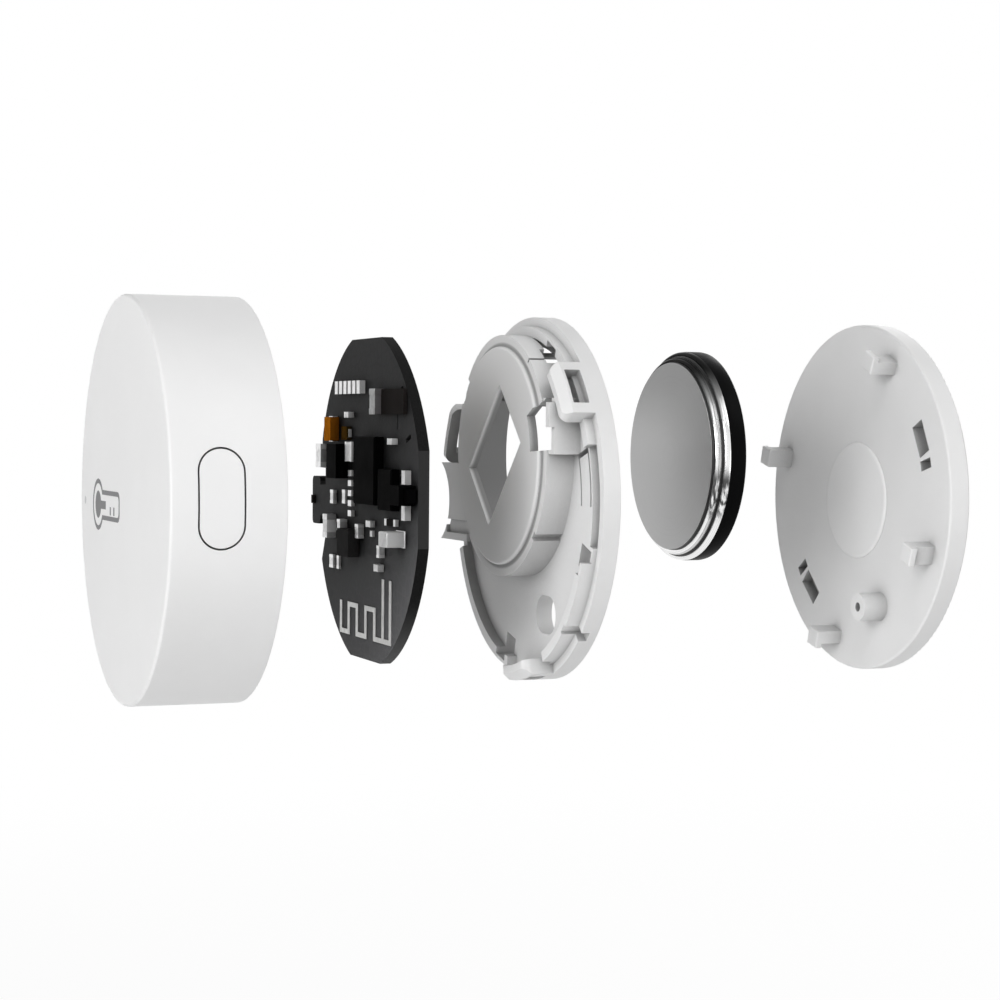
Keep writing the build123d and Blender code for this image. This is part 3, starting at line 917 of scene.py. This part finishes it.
@dataclass
class Studio:
    """Camera, lamps, floor and the white surroundings."""

    place: Point = (0.19962, -0.11883, 0.00700)
    azimuth: float = 68.472
    pitch: float = 1.903
    roll: float = 0.486
    focal: float = 2.30688
    sensor: float = 36.0
    clip: Band = (0.005, 20.0)
    floor_z: float = -0.12
    floor_side: float = 12.0
    floor_cells: int = 8
    floor_grain: float = 0.004
    floor_tones: tuple[float, float] = (0.86, 0.9)
    floor_fade: Band = (0.2, 0.6)
    floor_glow: float = 0.93
    aim: Point = (0.0, -0.040, 0.0)
    lamp_side: float = 0.24
    diffuse_level: tuple[float, float] = (0.72, 0.06)
    diffuse_band: Band = (-0.2, 0.6)
    lamps: tuple[tuple[str, Point, float], ...] = (
        ("front_lamp", (0.149, -0.501, -0.074), 0.46),
        ("side_lamp", (0.297, -0.411, 0.124), 1.10),
        ("high_lamp", (0.295, -0.138, 0.379), 0.52),
        ("rear_lamp", (0.246, 0.206, 0.345), 0.55),
        ("low_lamp", (0.366, 0.278, -0.059), 0.19),
        ("back_lamp", (-0.30, 0.34, 0.20), 1.30))

    def build(self) -> None:
        """Set the whole studio."""
        self._camera()
        self._world()
        self._floor()
        for name, place, power in self.lamps:
            self._lamp(name, place, power)
        log.info("studio")

    def _camera(self) -> None:
        """Stand the camera where the photograph was taken."""
        a, p, r = (math.radians(v) for v in (self.azimuth, self.pitch, self.roll))
        forward = Vector((-math.sin(a) * math.cos(p), math.cos(a) * math.cos(p), -math.sin(p)))
        right = Vector((math.cos(a), math.sin(a), 0.0))
        up = right.cross(forward)
        turned_right = math.cos(r) * right + math.sin(r) * up
        turned_up = math.cos(r) * up - math.sin(r) * right
        data = bpy.data.cameras.new("photo_camera")
        data.sensor_fit = "HORIZONTAL"
        data.sensor_width = self.sensor
        data.lens = self.focal * self.sensor
        data.clip_start, data.clip_end = self.clip
        camera = bpy.data.objects.new("photo_camera", data)
        bpy.context.scene.collection.objects.link(camera)
        turn = Matrix((turned_right, turned_up, -forward)).transposed()
        camera.matrix_world = Matrix.Translation(self.place) @ turn.to_4x4()
        bpy.context.scene.camera = camera

    def _world(self) -> None:
        """White for the camera and for gloss, a softer light for the rest."""
        world = bpy.data.worlds.new("surroundings")
        bpy.context.scene.world = world
        world.use_nodes = True
        bench = Bench(world.node_tree)
        _, _, up = bench.axes(bench.add("ShaderNodeTexCoord").outputs["Generated"])
        low, high = self.diffuse_level
        level = low + (high - low) * up.step(*self.diffuse_band)
        soft = bench.add("ShaderNodeBackground", None, {"Color": grey(1.0), "Strength": level})
        white = bench.add("ShaderNodeBackground", None, {"Color": grey(1.0)})
        bench.mixed(bench.seen(), soft, white, "ShaderNodeOutputWorld")
        bpy.context.scene.view_settings.view_transform = "Standard"

    def _floor(self) -> None:
        """Lay a wide pale floor."""
        Work.clear()
        bpy.ops.mesh.primitive_grid_add(
            x_subdivisions=self.floor_cells, y_subdivisions=self.floor_cells,
            size=self.floor_side, location=(0, 0, self.floor_z))
        floor = bpy.context.object
        floor.name = "floor"
        Work.settle(floor)
        material, bench = new_bench("floor_white")
        x, y, _ = bench.axes(bench.place())
        far = ((x * x + y * y) ** 0.5).step(*self.floor_fade)
        glowing = (self.floor_glow + (1.0 - self.floor_glow) * far) * bench.seen()
        low, high = self.floor_tones
        matt = bench.add(
            "ShaderNodeBsdfDiffuse", None,
            {"Color": bench.blend(bench.noise(self.floor_grain), grey(low), grey(high))})
        glow = bench.add("ShaderNodeEmission", None, {"Color": grey(1.0), "Strength": 1.0})
        bench.mixed(glowing, matt, glow, "ShaderNodeOutputMaterial")
        floor.data.materials.append(material)

    def _lamp(self, name: str, place: Point, power: float) -> None:
        """Hang a soft square lamp aimed at the sensor.

        Args:
            name: Name of the lamp.
            place: Where it hangs.
            power: Its power in watts.
        """
        data = bpy.data.lights.new(name, "AREA")
        data.shape = "SQUARE"
        data.size = self.lamp_side
        data.energy = power
        lamp = bpy.data.objects.new(name, data)
        lamp.visible_camera = False
        bpy.context.scene.collection.objects.link(lamp)
        lamp.location = place
        lamp.rotation_euler = (
            Vector(self.aim) - Vector(place)).to_track_quat("-Z", "Y").to_euler()


@dataclass
class CoinCell:
    """Coin cell: can painted black for a dark reflection, sealing ring and a grey cap with
    polished steps.
    """

    rear: float = -0.0195
    thick: float = 0.0032

    def build(self) -> None:
        """Turn the pieces and let them stand for their nodes."""
        self._can()
        self._cap()

    @staticmethod
    def _ride(piece: bpy.types.Object, finish: Finish, slot: str, *nodes: str) -> None:
        """Finish one piece and tie it to the cell.

        Args:
            piece: The piece.
            finish: Its finish.
            slot: Material slot of the record; not used.
            nodes: CAD nodes that it stands for.
        """
        piece.data.materials.append(finish.material())
        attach(piece, "cell")
        if nodes:
            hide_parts(*nodes)
        log.info("%s", piece.name)

    def _stack(self, name: str, profile: Rings) -> bpy.types.Object:
        """Turn one piece of the stack.

        Args:
            name: Name of the piece.
            profile: Radius and depth behind the face of each ring, from its rear, in mm.

        Returns:
            The piece.
        """
        face = self.rear - self.thick
        return Work.turned(
            name, [(r * MM, face + depth * MM) for r, depth in profile], CELL_AXIS)

    def _can(self) -> None:
        """Can: sleeve painted black for a dark reflection, under a polished shoulder."""
        case = self._stack("cell_case", [
            (9.6, 3.2), (9.82, 3.15), (9.95, 3.02), (10.0, 2.8), (10.0, 1.56), (9.98, 1.5)])
        self._ride(case, Finish.CAN_DARK_REFLECTION, "can_steel", "cell_can")
        shoulder = self._stack("cell_shoulder", [
            (9.97, 1.5), (9.97, 1.3), (9.95, 1.14), (9.88, 1.02), (9.78, 0.95), (9.68, 0.95),
            (9.62, 0.98), (9.6, 1.02)])
        self._ride(shoulder, Finish.CAP_POLISH, "can_steel")

    def _cap(self) -> None:
        """Cap: satin face over a polished step, with a seal and a groove round it; the groove is
        a black piece of painted shade.
        """
        seal = self._stack("cell_seal", [
            (9.59, 1.02), (9.59, 0.98), (9.57, 0.96), (9.47, 0.96), (9.46, 0.78)])
        self._ride(seal, Finish.GASKET_BLACK, "gasket_black", "cell_gasket")
        band = self._stack("cell_band", [(9.45, 0.78), (9.45, 0.62), (9.43, 0.57), (9.38, 0.54)])
        self._ride(band, Finish.CAP_BRUSHED, "cap_steel")
        step = self._stack("cell_step", [
            (9.35, 0.54), (9.34, 0.44), (9.31, 0.36), (9.25, 0.30), (9.16, 0.28), (9.08, 0.30)])
        self._ride(step, Finish.CAP_POLISH, "cap_steel")
        # painted shade: the groove is a near-black piece set where only shade falls
        groove = self._stack("cell_groove", [(9.0, 0.30), (8.94, 0.28), (8.94, 0.05)])
        self._ride(groove, Finish.GASKET_BLACK, "gasket_black")
        lid = self._stack("cell_lid", [(8.93, 0.05), (8.92, 0.025), (8.88, 0.005), (8.82, 0.0)])
        self._ride(lid, Finish.CAP_SATIN, "cap_steel", "cell_cap")


@dataclass
class BoardParts:
    """Small parts of the board, modelled at unit size and set into the boxes of their nodes."""

    edge: float = 0.045
    end_share: float = 0.24
    core_half: float = 0.48
    body_inset: float = 0.03
    moulded_half: float = 0.47
    tab_half: float = 0.3
    tab_height: float = 0.6
    tab_thick: float = 0.04
    tab_edge: float = 0.015
    can_half: tuple[float, float] = (0.47, 0.46)
    can_edge: float = 0.09
    can_foot: float = 0.45
    base_top: float = 0.42
    base_edge: float = 0.03

    def build(self) -> None:
        """Model every kind and set its copies on the boxes of its node."""
        for node, slot, body, ends in (
                ("small_capacitors", "ceramic_pale", Finish.CERAMIC_PALE, Finish.TIN),
                ("bulk_capacitor", "body_grey", Finish.BODY_GREY, Finish.BODY_GREY),
                ("film_capacitor", "body_grey", Finish.BODY_PALE, Finish.TIN),
                ("edge_capacitor", "body_grey", Finish.BODY_FILM, Finish.BODY_PALE)):
            self._place(self._capacitor(body, ends), node, slot)
        for node, slot, body in (
                ("tantalum_capacitor", "tantalum_orange", Finish.TANTALUM_ORANGE),
                ("small_tantalum", "tantalum_brown", Finish.TANTALUM_BROWN)):
            self._place(self._tantalum(body), node, slot)
        self._place(self._can(), "crystal", "body_grey")

    @staticmethod
    def _place(model: bpy.types.Object, node: str, slot: str) -> None:
        """Copy a model onto each block of a node, then remove the model.

        Args:
            model: Model of unit size.
            node: CAD node that the copies stand for.
            slot: Material slot of the record; not used.
        """
        for number, box in enumerate(blocks_of(node), start=1):
            piece = Work.fitted_copy(model, f"{node}_{number}", box)
            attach(piece, "board")
            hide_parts(node)
            log.info("%s", piece.name)
        bpy.data.objects.remove(model)

    @staticmethod
    def _block(name: str, low: Point, high: Point, edge: float,
               finish: Finish) -> bpy.types.Object:
        """Model a block with rounded edges and finish it.

        Args:
            name: Name of the block.
            low: Lowest corner.
            high: Highest corner.
            edge: Radius of its edges.
            finish: Its finish.

        Returns:
            The block.
        """
        block = Work.block(name, low, high, edge)
        block.data.materials.append(finish.material())
        return block

    def _capacitor(self, body: Finish, ends: Finish) -> bpy.types.Object:
        """Layered block between two end caps.

        Args:
            body: Finish of the block.
            ends: Finish of the caps.

        Returns:
            The model.
        """
        half, inner = self.core_half, 0.5 - self.body_inset
        parts = [self._block(
            "capacitor_model", (-half, -inner, -inner), (half, 0.5, inner), self.edge, body)]
        for start in (-0.5, 0.5 - self.end_share):
            parts.append(self._block(
                "cap", (start, -0.5, -0.5), (start + self.end_share, 0.5, 0.5), self.edge, ends))
        return Work.joined(parts)

    def _tantalum(self, body: Finish) -> bpy.types.Object:
        """Moulded block with a metal tab folded up each end.

        Args:
            body: Finish of the block.

        Returns:
            The model.
        """
        half = self.moulded_half
        parts = [self._block(
            "tantalum_model", (-half, -0.5, -0.5), (half, 0.5, 0.5), self.edge, body)]
        for start in (-0.5, 0.5 - self.tab_thick):
            parts.append(self._block(
                "tab", (start, 0.5 - self.tab_height, -self.tab_half),
                (start + self.tab_thick, 0.5, self.tab_half), self.tab_edge, Finish.TIN))
        return Work.joined(parts)

    def _can(self) -> bpy.types.Object:
        """Drawn metal can on a thin base plate.

        Returns:
            The model.
        """
        x, z = self.can_half
        can = self._block(
            "can_model", (-x, -0.5, -z), (x, self.can_foot, z), self.can_edge, Finish.BODY_FILM)
        base = self._block(
            "base", (-0.5, self.base_top, -0.5), (0.5, 0.5, 0.5), self.base_edge,
            Finish.BODY_PALE)
        return Work.joined([can, base])


@dataclass
class CircuitBoard:
    """Board with the parts that keep their CAD shapes."""

    def build(self) -> None:
        """Dress the board's nodes."""
        dress(["board"], Finish.BOARD_MASK)
        dress(["antenna"], Finish.TRACK_METAL)
        dress(["pin_row", "lead_row", "resistor_ends", "switch_terminals"], Finish.TIN)
        dress(["controller_chip", "second_chip", "power_inductor", "switch_body",
               "switch_plunger"], Finish.CHIP_BLACK)
        dress(["resistor_body", "filter_block", "indicator_led"], Finish.PART_DARK)
        dress(["rectifier"], Finish.PART_GREY)
        dress(["climate_sensor"], Finish.LENS_WHITE)
        dress(["negative_contact", "positive_contact"], Finish.CONTACT_METAL)


@dataclass
class Housing:
    """Front shell with its button, bracket and back cover with its round pad."""

    pad_axis: Axis = (0.0, -0.0003)
    pad_rings: Rings = (
        (5.62, -1.94), (5.66, -2.0), (5.66, -2.1), (5.74, -2.11), (5.68, -2.19),
        (5.58, -2.26), (5.46, -2.3), (5.3, -2.315))

    def build(self) -> None:
        """Dress the moulded pieces and set the pad."""
        dress(["front_shell", "button_cap"], Finish.SHELL_WHITE)
        dress(["front_icon"], Finish.ICON_GREY)
        dress(["light_pipe"], Finish.PIPE_CLEAR)
        dress(["bracket"], Finish.BRACKET_PLASTIC)
        dress(["back_cover"], Finish.COVER_PLASTIC)
        self._pad()

    def _pad(self) -> None:
        """Low pad in the middle of the cover, with a sloping edge; its rings are in mm."""
        pad = Work.turned(
            "cover_pad", [(r * MM, y * MM) for r, y in self.pad_rings], self.pad_axis)
        pad.data.materials.append(Finish.PAD_PLASTIC.material())
        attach(pad, "cover")
        log.info("%s", pad.name)


def main() -> None:
    """Build every sub-assembly in order."""
    logging.basicConfig(level=logging.INFO, format="%(name)s %(message)s")
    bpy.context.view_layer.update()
    for assembly in (Studio(), CoinCell(), CircuitBoard(), BoardParts(), Housing()):
        assembly.build()


if __name__ == "__main__":
    main()
